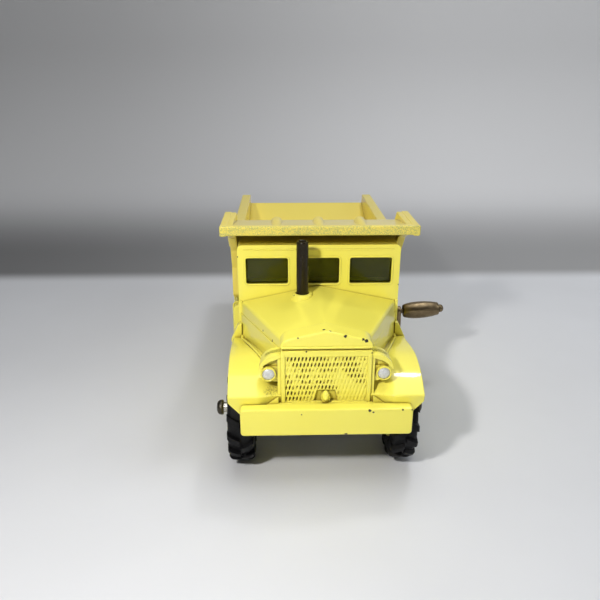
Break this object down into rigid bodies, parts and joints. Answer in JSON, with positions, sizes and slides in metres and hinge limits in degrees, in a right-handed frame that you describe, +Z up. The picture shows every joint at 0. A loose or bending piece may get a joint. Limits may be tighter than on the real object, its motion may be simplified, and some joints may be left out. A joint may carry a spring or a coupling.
{
  "type": "toy tipping truck",
  "caption": "Die-cast toy dump truck in pale yellow paint, with a crank-operated tipping body, a canopy over the cab and rubber tyred wheels.",
  "frame": {"origin": "on the ground, under the centre of the whole truck's bounding box", "axes": "+Y runs from the front bumper to the tail of the tipping body, +X to the truck's left-hand side (the crank side), +Z up"},
  "size_m": [0.0751, 0.142, 0.0624],
  "materials": {
    "yellow_paint": "gloss enamel, chipped at the edges",
    "tyre_rubber": "matt",
    "stack_plastic": "gloss",
    "tinted_glazing": "gloss",
    "bright_steel": "satin",
    "dark_steel": "satin, dulled",
    "bronzed_steel": "satin, browned",
    "plain_zinc": "satin"
  },
  "bodies": {
    "chassis": {"cab_and_chassis_casting": "yellow_paint", "cab_glazing": "tinted_glazing", "exhaust_stack": "stack_plastic", "base_plate": "plain_zinc", "base_rivet_front": "plain_zinc", "base_rivet_rear": "plain_zinc", "tilt_pin": "bright_steel", "lift_arm_pin": "bright_steel"},
    "dump_body": {"tipping_body": "yellow_paint"},
    "lift_lever": {"lift_arm": "bright_steel"},
    "crank": {"crank_shaft": "bright_steel", "crank_arm": "bronzed_steel", "grip_rivet": "bright_steel"},
    "grip": {"crank_grip": "bronzed_steel"},
    "front_axle_rod": {"front_axle": "dark_steel"},
    "rear_axle_rod": {"rear_axle": "dark_steel"},
    "front_right_wheel": {"front_right_hub": "yellow_paint", "front_right_tyre": "tyre_rubber"},
    "front_left_wheel": {"front_left_hub": "yellow_paint", "front_left_tyre": "tyre_rubber"},
    "rear_right_outer_wheel": {"rear_right_outer_hub": "yellow_paint", "rear_right_outer_tyre": "tyre_rubber"},
    "rear_right_inner_wheel": {"rear_right_inner_hub": "yellow_paint", "rear_right_inner_tyre": "tyre_rubber"},
    "rear_left_outer_wheel": {"rear_left_outer_hub": "yellow_paint", "rear_left_outer_tyre": "tyre_rubber"},
    "rear_left_inner_wheel": {"rear_left_inner_hub": "yellow_paint", "rear_left_inner_tyre": "tyre_rubber"}
  },
  "joints": [
    {"name": "dump_tilt", "type": "hinge", "parent": "chassis", "child": "dump_body", "pos_m": [-0.00765, 0.041, 0.027], "axis": [-1, 0, 0], "range_deg": [0, 38]},
    {"name": "lift_arm_swing", "type": "hinge", "parent": "chassis", "child": "lift_lever", "pos_m": [-0.02025, -0.007, 0.026], "axis": [0, -1, 0], "range_deg": [0, 74]},
    {"name": "crank_turn", "type": "hinge", "parent": "chassis", "child": "crank", "pos_m": [-0.00765, -0.007, 0.01596], "axis": [-1, 0, 0], "range_deg": [0, 1480.01]},
    {"name": "grip_spin", "type": "hinge", "parent": "crank", "child": "grip", "pos_m": [0.02295, -0.007, 0.02466], "axis": [0.9976, 0, 0.0698], "continuous": true},
    {"name": "front_axle_spin", "type": "hinge", "parent": "chassis", "child": "front_axle_rod", "pos_m": [-0.00765, -0.0526, 0.0146], "axis": [1, 0, 0], "continuous": true},
    {"name": "rear_axle_spin", "type": "hinge", "parent": "chassis", "child": "rear_axle_rod", "pos_m": [-0.00765, 0.021, 0.0146], "axis": [1, 0, 0], "continuous": true},
    {"name": "front_right_wheel_spin", "type": "hinge", "parent": "front_axle_rod", "child": "front_right_wheel", "pos_m": [-0.03015, -0.0526, 0.0146], "axis": [1, 0, 0], "continuous": true},
    {"name": "front_left_wheel_spin", "type": "hinge", "parent": "front_axle_rod", "child": "front_left_wheel", "pos_m": [0.01405, -0.0526, 0.0146], "axis": [1, 0, 0], "continuous": true},
    {"name": "rear_right_outer_wheel_spin", "type": "hinge", "parent": "rear_axle_rod", "child": "rear_right_outer_wheel", "pos_m": [-0.03015, 0.021, 0.0146], "axis": [1, 0, 0], "continuous": true},
    {"name": "rear_right_inner_wheel_spin", "type": "hinge", "parent": "rear_axle_rod", "child": "rear_right_inner_wheel", "pos_m": [-0.02175, 0.021, 0.0146], "axis": [1, 0, 0], "continuous": true},
    {"name": "rear_left_outer_wheel_spin", "type": "hinge", "parent": "rear_axle_rod", "child": "rear_left_outer_wheel", "pos_m": [0.01405, 0.021, 0.0146], "axis": [1, 0, 0], "continuous": true},
    {"name": "rear_left_inner_wheel_spin", "type": "hinge", "parent": "rear_axle_rod", "child": "rear_left_inner_wheel", "pos_m": [0.00645, 0.021, 0.0146], "axis": [1, 0, 0], "continuous": true}
  ],
  "couplings": [
    {"joint": "lift_arm_swing", "follows": "dump_tilt", "ratio": 1.9474},
    {"joint": "crank_turn", "follows": "dump_tilt", "ratio": 38.947}
  ]
}
